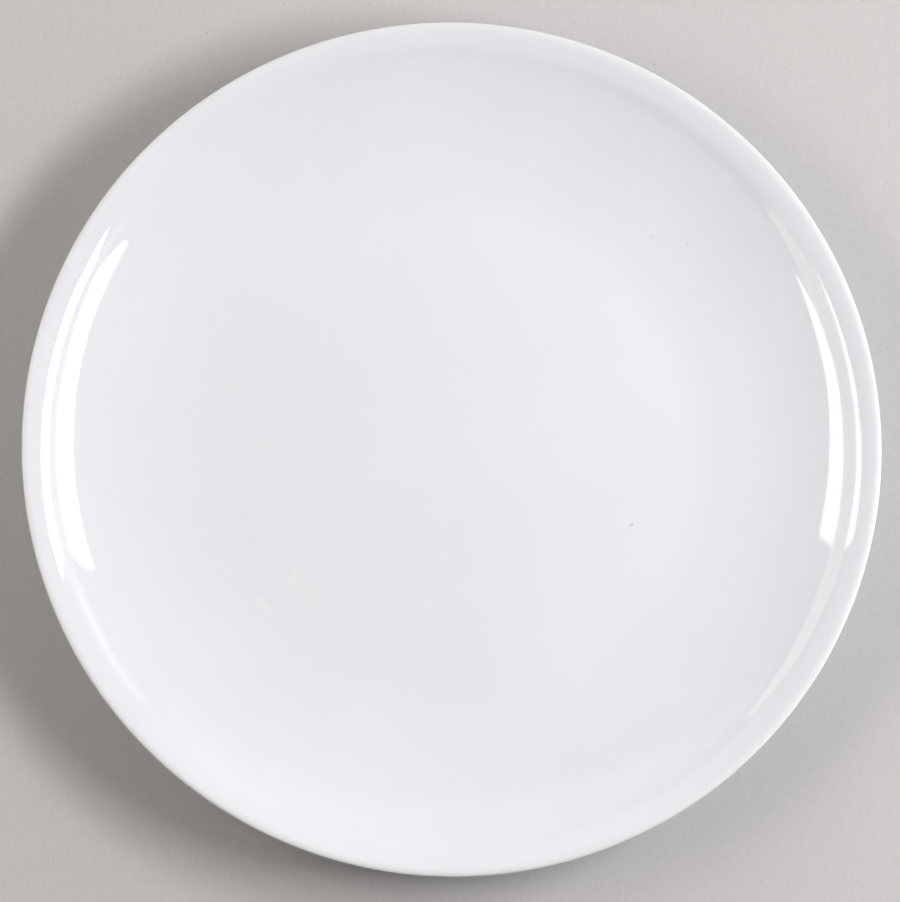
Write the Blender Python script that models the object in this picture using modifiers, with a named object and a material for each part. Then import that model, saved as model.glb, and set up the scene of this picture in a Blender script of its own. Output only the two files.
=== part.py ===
"""A white coupe salad plate in glazed porcelain, turned and fired as one piece.

Units are metres and +Z is up. The origin is on the plate's axis in the plane of the
foot ring's bearing face, so the plate stands on z = 0.
"""

import math

import bpy

# Sizes across the plate, from the rim inwards. The floor is what they leave free.
PLATE_DIAMETER = 0.2032
LIP_EDGE_RADIUS = 0.00055
LIP_WIDTH = 0.0011
FLARE_WIDTH = 0.0033
BREAK_WIDTH = 0.0021
SHOULDER_WIDTH = 0.0022
WALL_WIDTH = 0.0086
SWELL_WIDTH = 0.0137
SIDE_WIDTH = 0.0071
BEND_WIDTH = 0.0065

# Slopes of the upper face, from level, at the outer end of each width
BEND_SLOPE = math.radians(8.8)
SIDE_SLOPE = math.radians(9.0)
SWELL_SLOPE = math.radians(19.3)
WALL_SLOPE = math.radians(25.6)
CREASE_SLOPE = math.radians(31.6)
BREAK_SLOPE = math.radians(24.3)
FLARE_SLOPE = math.radians(21.0)

# Thickness of the clay, and the foot ring under the edge of the floor
LIP_THICKNESS = 0.0029
LIP_UNDER_RADIUS = 0.0010
FLOOR_THICKNESS = 0.0040
FOOT_HEIGHT = 0.0027
FOOT_WIDTH = 0.0036
FOOT_DRAFT = math.radians(15.0)
FOOT_FILLET = 0.0012
FOOT_EDGE_RADIUS = 0.0008

# How finely the curves are cut
TURN_STEPS = 72
BEND_STEPS = 3
SWELL_STEPS = 4
WALL_STEPS = 3
RIM_STEPS = 2
LIP_STEPS = 4
FOOT_STEPS = 3
AXIS_MERGE = 0.00001

# Porcelain under a clear glaze: cold white, glossy
GLAZE_COLOUR = (0.80, 0.80, 0.83, 1.0)
GLAZE_ROUGHNESS = 0.06


def clear_scene():
    for item in list(bpy.data.objects):
        bpy.data.objects.remove(item, do_unlink=True)


def sweep(start, width, end_slope, steps):
    """Points (radius, height, slope) outwards from start, turning evenly to end_slope."""
    radius, height, slope = start
    turn = math.sin(end_slope) - math.sin(slope)
    bend_radius = width / turn
    points = []
    for step in range(1, steps + 1):
        now = slope + (end_slope - slope) * step / steps
        out = radius + bend_radius * (math.sin(now) - math.sin(slope))
        up = height + bend_radius * (math.cos(slope) - math.cos(now))
        points.append((out, up, now))
    return points


def floor_radius():
    """The flat floor's edge: the rim's radius less everything outside it."""
    rim = LIP_EDGE_RADIUS + LIP_WIDTH + FLARE_WIDTH + BREAK_WIDTH + SHOULDER_WIDTH
    return PLATE_DIAMETER / 2 - rim - WALL_WIDTH - SWELL_WIDTH - SIDE_WIDTH - BEND_WIDTH


def upper_wall():
    """The upper face from the floor's edge to the start of the lip.

    It rises at once to the side, swells into a steeper wall up to a crease near the rim, and eases
    off again in the flare.
    """
    points = [(floor_radius(), FOOT_HEIGHT + FLOOR_THICKNESS, 0.0)]
    points += sweep(points[-1], BEND_WIDTH, BEND_SLOPE, BEND_STEPS)
    points += sweep(points[-1], SIDE_WIDTH, SIDE_SLOPE, 1)
    points += sweep(points[-1], SWELL_WIDTH, SWELL_SLOPE, SWELL_STEPS)
    points += sweep(points[-1], WALL_WIDTH, WALL_SLOPE, WALL_STEPS)
    points += sweep(points[-1], SHOULDER_WIDTH, CREASE_SLOPE, RIM_STEPS)
    points += sweep(points[-1], BREAK_WIDTH, BREAK_SLOPE, RIM_STEPS)
    points += sweep(points[-1], FLARE_WIDTH, FLARE_SLOPE, RIM_STEPS)
    return points


def lower_wall(upper):
    """The under face, from the lip to the floor's edge, square below the upper one.

    The clay thickens smoothly from the lip to the floor.
    """
    first, last = upper[0][0], upper[-1][0]
    points = []
    for radius, height, slope in reversed(upper):
        inward = (last - radius) / (last - first)
        ease = inward * inward * (3 - 2 * inward)
        thick = LIP_THICKNESS + (FLOOR_THICKNESS - LIP_THICKNESS) * ease
        points.append((radius + thick * math.sin(slope), height - thick * math.cos(slope)))
    return points


def rounded(before, corner, after, radius, steps):
    """Points of a round of this radius in place of a corner between two straight runs."""
    start_turn = math.atan2(corner[1] - before[1], corner[0] - before[0])
    end_turn = math.atan2(after[1] - corner[1], after[0] - corner[0])
    turn = (end_turn - start_turn + math.pi) % (2 * math.pi) - math.pi
    back = radius * math.tan(abs(turn) / 2)
    side = math.copysign(math.pi / 2, turn)
    start = (corner[0] - back * math.cos(start_turn), corner[1] - back * math.sin(start_turn))
    middle = (
        start[0] + radius * math.cos(start_turn + side),
        start[1] + radius * math.sin(start_turn + side),
    )
    points = []
    for step in range(steps + 1):
        angle = start_turn - side + turn * step / steps
        points.append((middle[0] + radius * math.cos(angle), middle[1] + radius * math.sin(angle)))
    return points


def lip(upper_end, lower_start):
    """The lip: its top rolls over to level, and a small round at the rim goes down to the under face."""
    top = sweep(upper_end, LIP_WIDTH, 0.0, RIM_STEPS)
    crest = (top[-1][0], top[-1][1])
    rim = PLATE_DIAMETER / 2
    upper_corner = (rim, crest[1])
    lower_corner = (rim, lower_start[1] + (rim - lower_start[0]) * math.tan(FLARE_SLOPE))
    points = [(radius, height) for radius, height, _ in top[:-1]]
    points += rounded(crest, upper_corner, lower_corner, LIP_EDGE_RADIUS, LIP_STEPS)
    points += rounded(upper_corner, lower_corner, lower_start, LIP_UNDER_RADIUS, LIP_STEPS)
    return points


def height_at(points, radius):
    """The under face's height at a radius, along the straight runs between its points."""
    for (outer, outer_height), (inner, inner_height) in zip(points, points[1:]):
        if inner <= radius <= outer:
            share = (radius - inner) / (outer - inner)
            return inner_height + (outer_height - inner_height) * share
    return points[-1][1]


def under_face(lower):
    """The under face from the lip inwards, with the foot ring below the floor's edge."""
    fillet = min(FOOT_FILLET, FOOT_HEIGHT / 2)
    edge = min(FOOT_EDGE_RADIUS, FOOT_HEIGHT / 3, FOOT_WIDTH / 3)
    lean = FOOT_HEIGHT * math.tan(FOOT_DRAFT)
    outer_edge = floor_radius() + FOOT_WIDTH / 2
    inner_edge = floor_radius() - FOOT_WIDTH / 2
    outer_root = outer_edge + lean
    points = [point for point in lower if point[0] > outer_root + 2 * fillet]
    corners = [
        points[-1],
        (outer_root, height_at(lower, outer_root)),
        (outer_edge, 0.0),
        (inner_edge, 0.0),
        (inner_edge - lean, FOOT_HEIGHT),
        (0.0, FOOT_HEIGHT),
    ]
    for place, radius in enumerate((fillet, edge, edge, fillet)):
        points += rounded(*corners[place : place + 3], radius, FOOT_STEPS)
    points.append(corners[-1])
    return points


def plate_section():
    """Half the plate's section, from the middle of the floor round the lip to the axis below."""
    upper = upper_wall()
    lower = lower_wall(upper)
    section = [(0.0, upper[0][1])]
    section += [(radius, height) for radius, height, _ in upper]
    section += lip(upper[-1], lower[0])
    section += under_face(lower[1:])
    return section


def porcelain():
    material = bpy.data.materials.new("glazed_white_porcelain")
    material.use_nodes = True
    shader = material.node_tree.nodes["Principled BSDF"]
    shader.inputs["Base Color"].default_value = GLAZE_COLOUR
    shader.inputs["Roughness"].default_value = GLAZE_ROUGHNESS
    shader.inputs["Metallic"].default_value = 0.0
    return material


def turned(name, section, material, collection):
    """A solid of revolution about Z from a section in the XZ plane."""
    mesh = bpy.data.meshes.new(name)
    edges = [(place, place + 1) for place in range(len(section) - 1)]
    mesh.from_pydata([(radius, 0.0, height) for radius, height in section], edges, [])
    mesh.materials.append(material)
    item = bpy.data.objects.new(name, mesh)
    collection.objects.link(item)
    screw = item.modifiers.new("Turning", "SCREW")
    screw.axis = "Z"
    screw.angle = 2 * math.pi
    screw.steps = TURN_STEPS
    screw.render_steps = TURN_STEPS
    screw.use_merge_vertices = True
    screw.merge_threshold = AXIS_MERGE
    screw.use_smooth_shade = True
    return item


def main():
    clear_scene()
    collection = bpy.data.collections.new("salad_plate")
    bpy.context.scene.collection.children.link(collection)
    section = plate_section()
    turned("plate_body", section, porcelain(), collection)
    height = max(point[1] for point in section)
    print(f"plate {PLATE_DIAMETER * 1000:.1f} mm across and {height * 1000:.1f} mm high")


main()
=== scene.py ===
# %% [markdown]
# # A glazed salad plate
# The plate is one piece of porcelain: a flat floor, a wall that curves up and flares at the lip, and a
# low foot ring that hides underneath. The frame already holds it as a faceted solid of its real size.
# This lesson makes the fine surface that stands for that solid, glazes it, and lights it in a studio.

# %% Load the frame and note its box
import math

import bmesh
import bpy
import numpy as np
from mathutils import Matrix, Vector


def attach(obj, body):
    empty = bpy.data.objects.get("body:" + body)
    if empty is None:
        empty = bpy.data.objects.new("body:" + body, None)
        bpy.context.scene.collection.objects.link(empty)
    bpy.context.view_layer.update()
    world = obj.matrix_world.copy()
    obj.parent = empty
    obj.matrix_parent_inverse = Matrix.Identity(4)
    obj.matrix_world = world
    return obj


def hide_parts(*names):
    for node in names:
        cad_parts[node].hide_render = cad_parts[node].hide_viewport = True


MM = 0.001


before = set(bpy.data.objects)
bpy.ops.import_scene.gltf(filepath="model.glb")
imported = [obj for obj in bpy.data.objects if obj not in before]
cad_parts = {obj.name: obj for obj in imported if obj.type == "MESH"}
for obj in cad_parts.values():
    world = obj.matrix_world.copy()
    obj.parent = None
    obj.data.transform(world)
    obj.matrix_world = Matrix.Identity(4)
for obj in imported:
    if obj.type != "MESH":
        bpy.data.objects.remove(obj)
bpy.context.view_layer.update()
scene = bpy.context.scene
scene.view_settings.view_transform = "Standard"

# %% [markdown]
# ## Colours and nodes
# Paint is chosen on a screen, so its colours are written as the screen's own hex values, while a
# shader wants linear light. One function turns the first into the second. Shader and geometry trees could
# be wired by hand, socket by socket. Two more functions make that short: one fills or links the inputs of
# a node, and one adds a node, sets it up and fills it in one call.

# %% Colours and nodes
def linear(hex_colour):
    """A screen colour such as #ECECF2 as the linear RGBA that a shader socket takes."""
    shades = [int(hex_colour[place : place + 2], 16) / 255 for place in (1, 3, 5)]
    # A screen's curve is straight near black and a power above that
    light = [shade / 12.92 if shade <= 0.04045 else ((shade + 0.055) / 1.055) ** 2.4 for shade in shades]
    return [*light, 1.0]


def fill(tree, node, inputs):
    """Links a node's inputs to other sockets, or sets them to values or hex colours."""
    for socket, value in inputs.items():
        if isinstance(value, bpy.types.NodeSocket):
            tree.links.new(value, node.inputs[socket])
        else:
            node.inputs[socket].default_value = linear(value) if isinstance(value, str) else value


def add_node(tree, kind, inputs=None, **settings):
    """Adds a node with its settings, and fills its inputs by name or by number."""
    node = tree.nodes.new(kind)
    for name, value in settings.items():
        setattr(node, name, value)
    fill(tree, node, inputs or {})
    return node


print("a cold white in linear light:", [round(part, 3) for part in linear("#ECECF2")[:3]])

# %% [markdown]
# ## The upper face
# A potter's template for a plate is half its section. Along it the slope changes smoothly: level floor,
# a soft bend, and a wall that steepens like a bowl. Near the rim it steepens faster, up to a crease, and
# then eases off in a flare and rolls over at the lip. Points could be traced by hand, but the glaze
# mirrors every kink in them. So each band has a width and the slope at its outer end, the slopes are
# averaged over the little width that the glaze evens out, and they are added up into heights.

# %% Widths across the plate, in millimetres, and the slope at the outer end of each
RIM_RADIUS = 101.6
LIP_EDGE_RADIUS = 0.55
LIP_WIDTH, LIP_SLOPE = 1.1, 0.0
FLARE_WIDTH, FLARE_SLOPE = 3.3, math.radians(21.0)
BREAK_WIDTH, BREAK_SLOPE = 2.1, math.radians(24.3)
SHOULDER_WIDTH, CREASE_SLOPE = 2.2, math.radians(31.6)
WALL_WIDTH, WALL_SLOPE = 8.6, math.radians(25.6)
SWELL_WIDTH, SWELL_SLOPE = 13.7, math.radians(19.3)
SIDE_WIDTH, SIDE_SLOPE = 7.1, math.radians(9.0)
BEND_WIDTH, BEND_SLOPE = 6.5, math.radians(8.8)
FLOOR_THICKNESS = 4.0
FOOT_HEIGHT = 2.7

bands = [
    (BEND_WIDTH, BEND_SLOPE),
    (SIDE_WIDTH, SIDE_SLOPE),
    (SWELL_WIDTH, SWELL_SLOPE),
    (WALL_WIDTH, WALL_SLOPE),
    (SHOULDER_WIDTH, CREASE_SLOPE),
    (BREAK_WIDTH, BREAK_SLOPE),
    (FLARE_WIDTH, FLARE_SLOPE),
    (LIP_WIDTH, LIP_SLOPE),
]
crest = RIM_RADIUS - LIP_EDGE_RADIUS
floor_edge = crest - sum(width for width, _ in bands)
lip_join = crest - LIP_WIDTH
crease = lip_join - FLARE_WIDTH - BREAK_WIDTH
print(f"floor to {floor_edge:.1f}, crease at {crease:.1f}, lip from {lip_join:.1f} to {RIM_RADIUS} mm")

# %% The slope and height of the upper face at a radius
GLAZE_EVENS = 0.3
EVEN_STEPS = 9
join_radii = np.concatenate([[0.0], floor_edge + np.cumsum([0.0] + [width for width, _ in bands])])
join_sines = np.sin([0.0, 0.0] + [slope for _, slope in bands])
# Past the crest the lip goes on rolling over at the same rate
join_radii = np.append(join_radii, crest + LIP_WIDTH)
join_sines = np.append(join_sines, -math.sin(FLARE_SLOPE))


def slope_at(radii):
    """The upper face's slope: an arc across each band, averaged over the width the glaze evens out."""
    shifts = np.linspace(-GLAZE_EVENS, GLAZE_EVENS, EVEN_STEPS)
    sines = [np.interp(radii + shift, join_radii, join_sines) for shift in shifts]
    return np.arcsin(np.mean(sines, axis=0))


FLOOR_RINGS = 12
WALL_RINGS = 50
RIM_RINGS = 44
BEND_MARGIN = 1.0
SHOULDER_MARGIN = 2.0
bend_start = floor_edge - BEND_MARGIN
rim_start = crease - SHOULDER_WIDTH - SHOULDER_MARGIN
upper_radii = np.concatenate(
    [
        np.linspace(0, bend_start, FLOOR_RINGS, endpoint=False),
        np.linspace(bend_start, rim_start, WALL_RINGS, endpoint=False),
        np.linspace(rim_start, crest, RIM_RINGS),
    ]
)
upper_slopes = slope_at(upper_radii)
rise = np.tan(upper_slopes)
upper_steps = (rise[1:] + rise[:-1]) / 2 * np.diff(upper_radii)
upper_heights = FOOT_HEIGHT + FLOOR_THICKNESS + np.concatenate([[0.0], np.cumsum(upper_steps)])
upper = np.column_stack([upper_radii, upper_heights])
steepest = math.degrees(upper_slopes.max())
print(f"steepest {steepest:.1f} degrees, top of the lip at {upper_heights[-1]:.2f} mm")

# %% [markdown]
# ## Lip, under face and foot ring
# The under face lies square below the upper one, and the clay thickens from the lip to the floor. The rim
# between them is sponged round before firing: tightly at its top edge, more softly below. The foot ring
# stands under the floor's edge. A Bevel modifier could round all these corners after the turning. Rounding
# the section before it, with one small function, keeps every ring of faces even.

# %% Rounding a corner
def rounded(before, corner, after, radius, cuts):
    """Points of a round of this radius in place of the corner between two straight runs."""
    into, out = np.subtract(corner, before), np.subtract(after, corner)
    start_turn, end_turn = math.atan2(into[1], into[0]), math.atan2(out[1], out[0])
    turn = (end_turn - start_turn + math.pi) % (2 * math.pi) - math.pi
    side = math.copysign(math.pi / 2, turn)
    start = corner - radius * math.tan(abs(turn) / 2) * into / np.linalg.norm(into)
    middle = start + radius * np.array([math.cos(start_turn + side), math.sin(start_turn + side)])
    angles = start_turn - side + turn * np.linspace(0, 1, cuts + 1)
    return middle + radius * np.column_stack([np.cos(angles), np.sin(angles)])


sample = rounded((0, 0), (2, 0), (2, 2), 1.0, 2)
print("a square corner rounded by 1:", sample.round(2).tolist())

# %% Under face and lip
LIP_THICKNESS = 2.9
LIP_UNDER_RADIUS = 1.0
LIP_CUTS = 8
inside = upper_radii <= lip_join
inward = np.clip((lip_join - upper_radii[inside]) / (lip_join - floor_edge), 0, 1)
thickness = LIP_THICKNESS + (FLOOR_THICKNESS - LIP_THICKNESS) * inward**2 * (3 - 2 * inward)
lower = np.column_stack(
    [
        upper_radii[inside] + thickness * np.sin(upper_slopes[inside]),
        upper_heights[inside] - thickness * np.cos(upper_slopes[inside]),
    ]
)
rim_drop = lower[-1][1] + (RIM_RADIUS - lower[-1][0]) * math.tan(FLARE_SLOPE)
top_corner, low_corner = np.array([RIM_RADIUS, upper_heights[-1]]), np.array([RIM_RADIUS, rim_drop])
lip = np.vstack(
    [
        rounded(upper[-1], top_corner, low_corner, LIP_EDGE_RADIUS, LIP_CUTS)[1:],
        rounded(top_corner, low_corner, lower[-1], LIP_UNDER_RADIUS, LIP_CUTS),
    ]
)
print(f"rim at {lip[:, 0].max():.2f} mm, {top_corner[1] - low_corner[1]:.2f} mm tall")

# %% Foot ring
FOOT_WIDTH = 3.6
FOOT_DRAFT = math.radians(15.0)
FOOT_FILLET = 1.2
FOOT_EDGE_RADIUS = 0.8
FOOT_CUTS = 6
RECESS_RINGS = 10

lean = FOOT_HEIGHT * math.tan(FOOT_DRAFT)
outer_edge, inner_edge = floor_edge + FOOT_WIDTH / 2, floor_edge - FOOT_WIDTH / 2
outer_root = outer_edge + lean
under_wall = lower[lower[:, 0] > outer_root + 2 * FOOT_FILLET][-2::-1]
corners = np.array(
    [
        under_wall[-1],
        (outer_root, np.interp(outer_root, lower[:, 0], lower[:, 1])),
        (outer_edge, 0.0),
        (inner_edge, 0.0),
        (inner_edge - lean, FOOT_HEIGHT),
        (0.0, FOOT_HEIGHT),
    ]
)
foot_radii = [FOOT_FILLET, FOOT_EDGE_RADIUS, FOOT_EDGE_RADIUS, FOOT_FILLET]
triples = zip(corners, corners[1:], corners[2:], foot_radii)
foot = np.vstack([rounded(*triple, FOOT_CUTS) for triple in triples])
recess = np.linspace(foot[-1], corners[-1], RECESS_RINGS + 1)[1:]
section = np.vstack([upper, lip, under_wall, foot, recess])
print(f"section of {len(section)} points, foot ring from {inner_edge:.1f} to {outer_edge:.1f} mm")

# %% [markdown]
# ## Glazed porcelain
# Porcelain is white clay fired until it is nearly glass, under a coat of clear glaze. The clay gives a
# cold white, the glaze a sharp mirror of about four parts in a hundred. Thin porcelain also lets light
# through, so the rim glows a little where the paper below it is bright. What else keeps it from looking
# like plastic is small: glaze that pools a shade darker, a lip where it runs thin and dull, a few grey
# specks, a few paler patches low on the left of the plate's floor, faint smears, and a surface that is not
# quite flat. A painted texture could hold all of these. Patterns worked out from real sizes stay sharp at
# any distance and need no unwrapping.

# %% Starting a finish, and marks in it
MARK_CORE = 0.3


def start_finish(name):
    """A new material, with its tree, its shader and the place on the object."""
    material = bpy.data.materials.new(name)
    material.use_nodes = True
    tree = material.node_tree
    place = add_node(tree, "ShaderNodeTexCoord").outputs["Object"]
    return material, tree, tree.nodes["Principled BSDF"], place


def marked(tree, place, marks):
    """How strongly a spot is marked, from a list of soft marks on the upper face, in millimetres."""
    most = 0.0
    for across, up, half_length, half_width, turn, strength in marks:
        height = np.interp(math.hypot(across, up), upper_radii, upper_heights)
        near = add_node(
            tree,
            "ShaderNodeMapping",
            {
                "Vector": place,
                "Location": (across * MM, up * MM, height * MM),
                "Rotation": (0, 0, math.radians(turn)),
                "Scale": (half_length * MM, half_width * MM, half_length * MM),
            },
            vector_type="TEXTURE",
        ).outputs["Vector"]
        away = add_node(tree, "ShaderNodeVectorMath", {0: near}, operation="LENGTH").outputs["Value"]
        mark = add_node(
            tree,
            "ShaderNodeMapRange",
            {"Value": away, "From Min": 1.0, "From Max": MARK_CORE, "To Min": 0.0, "To Max": strength},
            interpolation_type="SMOOTHSTEP",
        ).outputs["Result"]
        most = add_node(tree, "ShaderNodeMath", {0: most, 1: mark}, operation="MAXIMUM").outputs[0]
    return most


print(f"the soft edge of a mark takes {1 - MARK_CORE:.0%} of its size")

# %% Glazed porcelain
GLAZE_WHITE = "#ECECF2"
GLAZE_POOLED = "#E8E8EE"
GLAZE_THIN = "#E9E8EB"
# The colour of the paler patches on the plate's floor, low and to the left
PATCH_PALE = "#F3F2F4"
SPECK_GREY = "#BDBCC1"
# Sizes in millimetres, each with how many finer layers its pattern has
POOL_SIZE, POOL_DETAIL = 30.0, 2.0
SMEAR_SIZE, SMEAR_DETAIL = 9.0, 4.0
RIPPLE_SIZE, RIPPLE_DETAIL = 5.0, 1.0
RIPPLE_HEIGHT = 0.002
ROUGH_CLEAN, ROUGH_SMEARED = 0.03, 0.06
GLAZE_IOR = 1.5
# The share of light that enters the clay, and how far it reaches there, alike in red, green and blue
SEEN_THROUGH = 0.6
LIGHT_REACH = 3.0
REACH_SHARES = (1.0, 1.0, 1.0)
# How far in from the rim the glaze runs thin, in millimetres
THIN_WIDTH = 2.0
# Across, up, half length, half width, turn and strength of the specks and of the paler patches
SPECKS = [
    (43.1, -17.2, 0.7, 0.45, 15, 0.75),
    (56.4, 49.8, 0.55, 0.45, 0, 0.35),
    (48.1, 51.7, 0.5, 0.5, 0, 0.35),
    (-11.5, 61.2, 0.5, 0.5, 0, 0.25),
    (27.6, -40.4, 0.5, 0.4, 0, 0.2),
]
# Paler patches on the plate's floor, low and to the left, lighter than the glaze around them
PALE_PATCHES = [
    (-44.1, -36.6, 4.6, 0.7, -46, 0.4),
    (-37.5, -30.5, 3.6, 1.5, 80, 0.35),
    (-33.0, -34.5, 4.5, 3.5, 20, 0.2),
]
# A Mix node keeps its colour sockets at these numbers
COLOUR_A, COLOUR_B, MIXED = 6, 7, 2


def glazed_porcelain():
    """White porcelain under a clear, glossy glaze, sponged at the lip before the last firing."""
    material, tree, shader, place = start_finish("glazed_porcelain_fired")
    patterns = [(POOL_SIZE, POOL_DETAIL), (SMEAR_SIZE, SMEAR_DETAIL), (RIPPLE_SIZE, RIPPLE_DETAIL)]
    pool, smear, ripple = [
        add_node(
            tree, "ShaderNodeTexNoise", {"Vector": place, "Scale": 1 / (size * MM), "Detail": detail}
        ).outputs["Fac"]
        for size, detail in patterns
    ]
    flat = add_node(tree, "ShaderNodeVectorMath", {0: place, 1: (1, 1, 0)}, operation="MULTIPLY")
    radius = add_node(tree, "ShaderNodeVectorMath", {0: flat.outputs["Vector"]}, operation="LENGTH")
    thin = add_node(
        tree,
        "ShaderNodeMapRange",
        {
            "Value": radius.outputs["Value"],
            "From Min": (RIM_RADIUS - THIN_WIDTH) * MM,
            "From Max": RIM_RADIUS * MM,
        },
        interpolation_type="SMOOTHSTEP",
    ).outputs["Result"]
    # How strongly each spot takes the paler patches, and the grey specks
    pale_patch, specked = marked(tree, place, PALE_PATCHES), marked(tree, place, SPECKS)
    coats = [(pool, GLAZE_POOLED), (thin, GLAZE_THIN), (pale_patch, PATCH_PALE), (specked, SPECK_GREY)]
    colour = GLAZE_WHITE
    for amount, coat in coats:
        colour = add_node(
            tree, "ShaderNodeMix", {0: amount, COLOUR_A: colour, COLOUR_B: coat}, data_type="RGBA"
        ).outputs[MIXED]
    gloss = add_node(
        tree, "ShaderNodeMapRange", {"Value": smear, "To Min": ROUGH_CLEAN, "To Max": ROUGH_SMEARED}
    )
    bump = add_node(
        tree, "ShaderNodeBump", {"Height": ripple, "Distance": RIPPLE_HEIGHT * MM, "Strength": 1.0}
    )
    look = {
        "Base Color": colour,
        "Roughness": gloss.outputs["Result"],
        "Normal": bump.outputs["Normal"],
        "IOR": GLAZE_IOR,
        "Subsurface Weight": SEEN_THROUGH,
        "Subsurface Scale": LIGHT_REACH * MM,
        "Subsurface Radius": REACH_SHARES,
    }
    fill(tree, shader, look)
    return material


glaze = glazed_porcelain()
print("glaze:", glaze.name, len(glaze.node_tree.nodes), "nodes")

# %% [markdown]
# ## Bare clay
# The foot ring's bearing face is wiped clean of glaze, or the plate would melt fast to its shelf in the
# kiln. What is left there is fired clay: matt, a little warmer than the glaze, and finely grained. One
# colour could stand for it, but a wiped foot is rubbed in patches, so two shades are mixed.

# %% Bare clay of the foot
CLAY_WHITE = "#E6E1D8"
CLAY_RUBBED = "#CBC5BC"
RUB_SIZE, RUB_DETAIL = 14.0, 5.0
# The real grain is finer than a pixel, so it is drawn this coarse
GRAIN_SIZE, GRAIN_DETAIL = 0.35, 3.0
GRAIN_HEIGHT = 0.05
CLAY_ROUGHNESS = 0.8


def bare_clay():
    """Unglazed porcelain clay on the foot: matt, grained, and rubbed a little grey by tables."""
    material, tree, shader, place = start_finish("bare_porcelain_clay_wiped")
    rubbed, grain = [
        add_node(
            tree, "ShaderNodeTexNoise", {"Vector": place, "Scale": 1 / (size * MM), "Detail": detail}
        ).outputs["Fac"]
        for size, detail in [(RUB_SIZE, RUB_DETAIL), (GRAIN_SIZE, GRAIN_DETAIL)]
    ]
    colour = add_node(
        tree, "ShaderNodeMix", {0: rubbed, COLOUR_A: CLAY_WHITE, COLOUR_B: CLAY_RUBBED}, data_type="RGBA"
    )
    bump = add_node(
        tree, "ShaderNodeBump", {"Height": grain, "Distance": GRAIN_HEIGHT * MM, "Strength": 1.0}
    )
    look = {
        "Base Color": colour.outputs[MIXED],
        "Roughness": CLAY_ROUGHNESS,
        "Normal": bump.outputs["Normal"],
    }
    fill(tree, shader, look)
    return material


clay = bare_clay()
print("clay:", clay.name, len(clay.node_tree.nodes), "nodes")

# %% [markdown]
# ## Turning
# On the wheel, clay turns under the template. A Screw modifier or a spin could do that. Here a small
# Geometry Nodes tree does it, because its inputs say what the maker sets: how finely the round is cut,
# and how high the foot is wiped. The section becomes a curve and is swept round a circle, its ends close
# on the axis, and the wiped faces get the bare clay.

# %% The turning tree
# Points this close, in millimetres, become one
AXIS_MERGE = 0.001


def turning_tree():
    """Sweeps a section round a circle, closes it on the axis, and gives it glaze and bare clay."""
    tree = bpy.data.node_groups.new("turn_on_the_wheel", "GeometryNodeTree")
    tree.is_modifier = True
    kinds = {
        "Section": "NodeSocketGeometry",
        "Turning radius": "NodeSocketFloat",
        "Cuts round": "NodeSocketInt",
        "Wiped height": "NodeSocketFloat",
        "Glaze": "NodeSocketMaterial",
        "Bare clay": "NodeSocketMaterial",
    }
    for name, kind in kinds.items():
        tree.interface.new_socket(name, in_out="INPUT", socket_type=kind)
    tree.interface.new_socket("Plate", in_out="OUTPUT", socket_type="NodeSocketGeometry")
    given = add_node(tree, "NodeGroupInput").outputs
    template = add_node(tree, "GeometryNodeMeshToCurve", {"Mesh": given["Section"]})
    wheel = add_node(
        tree,
        "GeometryNodeCurvePrimitiveCircle",
        {"Resolution": given["Cuts round"], "Radius": given["Turning radius"]},
        mode="RADIUS",
    )
    turned = add_node(
        tree,
        "GeometryNodeCurveToMesh",
        {"Curve": wheel.outputs["Curve"], "Profile Curve": template.outputs["Curve"]},
    )
    closed = add_node(
        tree,
        "GeometryNodeMergeByDistance",
        {"Geometry": turned.outputs["Mesh"], "Distance": AXIS_MERGE * MM},
    )
    smooth = add_node(tree, "GeometryNodeSetShadeSmooth", {"Geometry": closed.outputs["Geometry"]})
    real = add_node(tree, "GeometryNodeRealizeInstances", {"Geometry": smooth.outputs["Geometry"]})
    glazed = add_node(
        tree, "GeometryNodeSetMaterial", {"Geometry": real.outputs["Geometry"], "Material": given["Glaze"]}
    )
    spot = add_node(tree, "GeometryNodeInputPosition")
    height = add_node(tree, "ShaderNodeSeparateXYZ", {"Vector": spot.outputs["Position"]})
    low = add_node(
        tree,
        "FunctionNodeCompare",
        {0: height.outputs["Z"], 1: given["Wiped height"]},
        data_type="FLOAT",
        operation="LESS_THAN",
    )
    wiped = add_node(
        tree,
        "GeometryNodeSetMaterial",
        {
            "Geometry": glazed.outputs["Geometry"],
            "Selection": low.outputs["Result"],
            "Material": given["Bare clay"],
        },
    )
    add_node(tree, "NodeGroupOutput", {"Plate": wiped.outputs["Geometry"]})
    return tree


turning = turning_tree()
print("turning tree:", [item.name for item in turning.interface.items_tree if item.item_type == "SOCKET"])

# %% Turn the section into the plate
CUTS_ROUND = 256
WIPED_HEIGHT = 0.15


def turn_plate(name):
    """The plate as a plain mesh, turned from the section by the tree."""
    # The sweep lays a section's X outwards from its circle and its Y downwards
    template = bpy.data.meshes.new("template")
    points = [((radius - RIM_RADIUS) * MM, -height * MM, 0.0) for radius, height in section]
    template.from_pydata(points, [(place, place + 1) for place in range(len(points) - 1)], [])
    holder = bpy.data.objects.new("template", template)
    scene.collection.objects.link(holder)
    modifier = holder.modifiers.new("Turning", "NODES")
    modifier.node_group = turning
    inputs = {
        "Turning radius": RIM_RADIUS * MM,
        "Cuts round": CUTS_ROUND,
        "Wiped height": WIPED_HEIGHT * MM,
        "Glaze": glaze,
        "Bare clay": clay,
    }
    for item in turning.interface.items_tree:
        if item.name in inputs:
            modifier[item.identifier] = inputs[item.name]
    evaluated = holder.evaluated_get(bpy.context.evaluated_depsgraph_get())
    mesh = bpy.data.meshes.new_from_object(evaluated)
    bpy.data.objects.remove(holder, do_unlink=True)
    mesh.name = name
    body = bpy.data.objects.new(name, mesh)
    scene.collection.objects.link(body)
    return body


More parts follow.
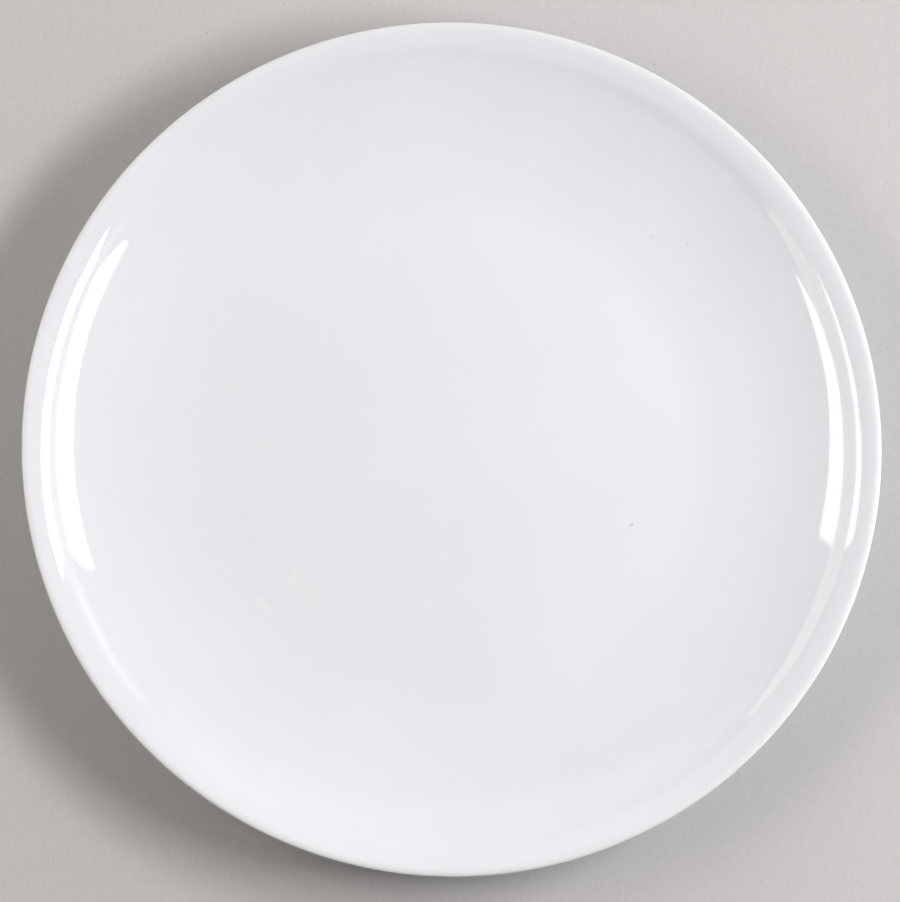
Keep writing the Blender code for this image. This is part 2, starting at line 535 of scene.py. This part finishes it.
plate = turn_plate("turned_plate")
shape = bmesh.new()
shape.from_mesh(plate.data)
bmesh.ops.recalc_face_normals(shape, faces=shape.faces)
open_edges = sum(not edge.is_manifold for edge in shape.edges)
volume = shape.calc_volume(signed=True) / MM**3
print(f"{plate.name}: {len(shape.faces)} faces, {open_edges} open edges, {volume:.0f} mm3")
print("finishes:", [slot.name for slot in plate.data.materials])
shape.to_mesh(plate.data)
shape.free()

# %% Hang the plate on the frame
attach(plate, "root")
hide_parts("plate_body")
print("plate rides on root and stands for plate_body")

# %% [markdown]
# ## The floor
# The plate lies on a wide sheet of pale, warm-grey paper. A flat sheet is enough, since the camera looks
# down on it, but paper is never one tone: its fibres lie mostly one way as fine slanted streaks, and a few
# small dark bits are caught among them. Both are very faint.

# %% Paper floor
PAPER_GREY = "#C2BFBF"
PAPER_LIGHT = "#CAC7C7"
PAPER_BIT = "#ACA8A6"
# One fibre is too fine to show, so a streak stands for a bundle of them
STREAK_LENGTH, STREAK_WIDTH, STREAK_TURN = 2.4, 0.9, 75
STREAK_DETAIL, STREAK_ROUGHNESS = 4.0, 0.65
STREAK_HEIGHT = 0.004
# The part of the streaks' range over which the tone goes from grey to light
TONE_FROM, TONE_TO = 0.25, 0.75
BIT_GAP = 22.0
BIT_RADIUS = 0.35
PAPER_ROUGHNESS = 0.9
PAPER_SHEEN = 0.2
FLOOR_SIDE = 8.0


def paper():
    """Pale warm-grey studio paper, uncoated: matt, with slanted fibre streaks and sparse dark bits."""
    material, tree, shader, place = start_finish("studio_paper_uncoated")
    grained = add_node(
        tree,
        "ShaderNodeMapping",
        {
            "Vector": place,
            "Rotation": (0, 0, math.radians(STREAK_TURN)),
            "Scale": (STREAK_LENGTH * MM, STREAK_WIDTH * MM, MM),
        },
        vector_type="TEXTURE",
    ).outputs["Vector"]
    streak = add_node(
        tree,
        "ShaderNodeTexNoise",
        {"Vector": grained, "Scale": 1.0, "Detail": STREAK_DETAIL, "Roughness": STREAK_ROUGHNESS},
    ).outputs["Fac"]
    tone = add_node(
        tree, "ShaderNodeMapRange", {"Value": streak, "From Min": TONE_FROM, "From Max": TONE_TO}
    ).outputs["Result"]
    cells = add_node(
        tree,
        "ShaderNodeTexVoronoi",
        {"Vector": place, "Scale": 1 / (BIT_GAP * MM)},
        voronoi_dimensions="2D",
    ).outputs["Distance"]
    bit = add_node(
        tree,
        "ShaderNodeMapRange",
        {"Value": cells, "From Min": BIT_RADIUS / BIT_GAP, "From Max": 0.0},
        interpolation_type="SMOOTHSTEP",
    ).outputs["Result"]
    colour = PAPER_GREY
    for amount, shade in [(tone, PAPER_LIGHT), (bit, PAPER_BIT)]:
        colour = add_node(
            tree, "ShaderNodeMix", {0: amount, COLOUR_A: colour, COLOUR_B: shade}, data_type="RGBA"
        ).outputs[MIXED]
    bump = add_node(
        tree, "ShaderNodeBump", {"Height": streak, "Distance": STREAK_HEIGHT * MM, "Strength": 1.0}
    )
    look = {
        "Base Color": colour,
        "Roughness": PAPER_ROUGHNESS,
        "Specular IOR Level": PAPER_SHEEN,
        "Normal": bump.outputs["Normal"],
    }
    fill(tree, shader, look)
    return material


sheet_mesh = bpy.data.meshes.new("paper_floor")
half = FLOOR_SIDE / 2
sheet_corners = [(-half, -half, 0), (half, -half, 0), (half, half, 0), (-half, half, 0)]
sheet_mesh.from_pydata(sheet_corners, [], [(0, 1, 2, 3)])
sheet_mesh.materials.append(paper())
floor = bpy.data.objects.new("paper_floor", sheet_mesh)
scene.collection.objects.link(floor)
print("floor:", floor.name, FLOOR_SIDE, "m square")

# %% [markdown]
# ## Light
# A bright panel stands to the right of the plate and a weaker one to the left, both halfway up. They show
# as pairs of sharp white strips in the wall, one strip below the crease and one above it. A strip's edges
# are the panel's own edges, so the panels are cut to shape like a flagged softbox. Below each panel a dim
# skirt fills the gap between its two strips and goes on along the crease, and a dim panel above the
# picture lifts the far side. The rest of the light is a soft room. Area lamps would light the plate as
# well, but only a glowing sheet can have such an outline.

# %% Shapes and levels of the panels
PANEL_DISTANCE = 0.75
PANEL_AIM_HEIGHT = 12.0
# Where each panel stands: from the zenith, and round from X, in degrees
RIGHT_PLACE = (52.0, 4.0)
LEFT_PLACE = (46.0, 178.0)
TOP_PLACE = (52.0, 90.0)
RIGHT_GLOW = 23.2
LEFT_GLOW = 9.0
RIGHT_SKIRT_GLOW = 1.75
LEFT_SKIRT_GLOW = 2.75
TOP_GLOW = 0.72
COOL_LIGHT = "#FFFFFF"
WARM_LIGHT = "#FFFBF2"
# Corners of each panel as it faces the plate, along it and down from its middle, in millimetres
RIGHT_TOP = [(-217, -201), (-134, -173), (-56, -154), (18, -141), (93, -141), (221, -146)]
RIGHT_FOOT = [(212, -5), (93, 4), (2, -2), (-90, -19), (-184, -44), (-217, -53)]
LEFT_TOP = [(-196, -130), (-108, -123), (-30, -120), (48, -125), (162, -140)]
LEFT_FOOT = [(130, -95), (63, -55), (8, -30), (-51, -34), (-138, -30), (-226, -22)]
RIGHT_SKIRT = [(-400, -53), *reversed(RIGHT_FOOT), (400, -5), (620, 40), (620, 260), (-400, 260)]
LEFT_SKIRT_FOOT = [(160, -88), (330, -60), (330, 40), (160, 150), (-620, 240)]
LEFT_SKIRT = [(-620, -20), (-260, -40), *reversed(LEFT_FOOT), *LEFT_SKIRT_FOOT]
TOP_OUTLINE = [(-450, -200), (450, -200), (450, 250), (-450, 250)]
print(len(RIGHT_TOP + RIGHT_FOOT), "corners on the right panel,", len(LEFT_TOP + LEFT_FOOT), "on the left")

# %% Hang the panels
def panel(name, stand, outline, glow, colour):
    """A glowing sheet of this outline, square to a line from the plate's middle."""
    material = bpy.data.materials.new(name)
    material.use_nodes = True
    tree = material.node_tree
    tree.nodes.clear()
    lit = add_node(tree, "ShaderNodeEmission", {"Color": colour, "Strength": glow})
    add_node(tree, "ShaderNodeOutputMaterial", {"Surface": lit.outputs["Emission"]})
    tilt, turn = [math.radians(angle) for angle in stand]
    out = Vector((math.sin(tilt) * math.cos(turn), math.sin(tilt) * math.sin(turn), math.cos(tilt)))
    along = Vector((-math.sin(turn), math.cos(turn), 0.0))
    down = along.cross(out)
    middle = Vector((0, 0, PANEL_AIM_HEIGHT * MM)) + PANEL_DISTANCE * out
    corners = [middle + across * MM * along + drop * MM * down for across, drop in outline]
    mesh = bpy.data.meshes.new(name)
    mesh.from_pydata(corners, [], [range(len(corners))])
    mesh.materials.append(material)
    sheet = bpy.data.objects.new(name, mesh)
    scene.collection.objects.link(sheet)
    sheet.visible_camera = False
    return sheet


hung = [
    panel("right_panel", RIGHT_PLACE, RIGHT_TOP + RIGHT_FOOT, RIGHT_GLOW, COOL_LIGHT),
    panel("right_skirt", RIGHT_PLACE, RIGHT_SKIRT, RIGHT_SKIRT_GLOW, COOL_LIGHT),
    panel("left_panel", LEFT_PLACE, LEFT_TOP + LEFT_FOOT, LEFT_GLOW, WARM_LIGHT),
    panel("left_skirt", LEFT_PLACE, LEFT_SKIRT, LEFT_SKIRT_GLOW, WARM_LIGHT),
    panel("top_panel", TOP_PLACE, TOP_OUTLINE, TOP_GLOW, COOL_LIGHT),
]
print("panels:", [sheet.name for sheet in hung], "at", PANEL_DISTANCE, "m")

# %% A soft room
# Where the room glows: round from X and from the zenith in degrees, sharpness, strength
ROOM_GLOWS = [
    (0, 60, 6, 0.7),
    (180, 60, 6, 0.65),
]
world = bpy.data.worlds.new("soft_room")
world.use_nodes = True
world_tree = world.node_tree
world_tree.nodes.clear()
direction = add_node(world_tree, "ShaderNodeTexCoord").outputs["Generated"]
room_light = 0.0
for round_from_x, from_zenith, sharpness, strength in ROOM_GLOWS:
    turn, tilt = math.radians(round_from_x), math.radians(from_zenith)
    aim = (math.sin(tilt) * math.cos(turn), math.sin(tilt) * math.sin(turn), math.cos(tilt))
    facing = add_node(
        world_tree, "ShaderNodeVectorMath", {0: direction, 1: aim}, operation="DOT_PRODUCT"
    ).outputs["Value"]
    front = add_node(world_tree, "ShaderNodeMath", {0: facing, 1: 0.0}, operation="MAXIMUM").outputs[0]
    soft = add_node(world_tree, "ShaderNodeMath", {0: front, 1: sharpness}, operation="POWER").outputs[0]
    room_light = add_node(
        world_tree, "ShaderNodeMath", {0: soft, 1: strength, 2: room_light}, operation="MULTIPLY_ADD"
    ).outputs[0]
room = add_node(world_tree, "ShaderNodeBackground", {"Strength": room_light})
add_node(world_tree, "ShaderNodeOutputWorld", {"Surface": room.outputs["Background"]})
scene.world = world
print("room glows:", len(ROOM_GLOWS))

# %% [markdown]
# ## Camera
# The rim is a circle, and in the photograph it is an ellipse that is a little shorter than wide. That
# gives the camera's lean from straight above. A long lens from a distance keeps the far rim as wide as
# the near one. The lens follows from how many pixels the rim's radius takes.

# %% Camera
PHOTO_WIDTH, PHOTO_HEIGHT = 900, 902
RIM_MIDDLE_PIXEL = (452.56, 446.46)
CAMERA_DISTANCE = 1.5
CAMERA_LEAN = math.radians(7.172)
CAMERA_SIDE = math.radians(-107.07)
FOCAL_PIXELS = 6350.2
RIM_HEIGHT = 18.0
# Nothing nearer to the camera than this is drawn, in metres
NEAREST = 0.05

camera = bpy.data.objects.new("camera", bpy.data.cameras.new("camera"))
scene.collection.objects.link(camera)
scene.camera = camera
back = Vector(
    (
        math.sin(CAMERA_LEAN) * math.cos(CAMERA_SIDE),
        math.sin(CAMERA_LEAN) * math.sin(CAMERA_SIDE),
        math.cos(CAMERA_LEAN),
    )
)
right = Vector((0, 1, 0)).cross(back).normalized()
up = back.cross(right)
tripod = Matrix.Translation(Vector((0, 0, RIM_HEIGHT * MM)) + CAMERA_DISTANCE * back)
camera.matrix_world = tripod @ Matrix((right, up, back)).transposed().to_4x4()
camera.data.sensor_fit = "HORIZONTAL"
camera.data.lens = camera.data.sensor_width * FOCAL_PIXELS / PHOTO_WIDTH
camera.data.shift_x = (PHOTO_WIDTH / 2 - RIM_MIDDLE_PIXEL[0]) / PHOTO_WIDTH
camera.data.shift_y = (RIM_MIDDLE_PIXEL[1] - PHOTO_HEIGHT / 2) / PHOTO_WIDTH
camera.data.clip_start = NEAREST
print(f"lens {camera.data.lens:.0f} mm at {CAMERA_DISTANCE} m")
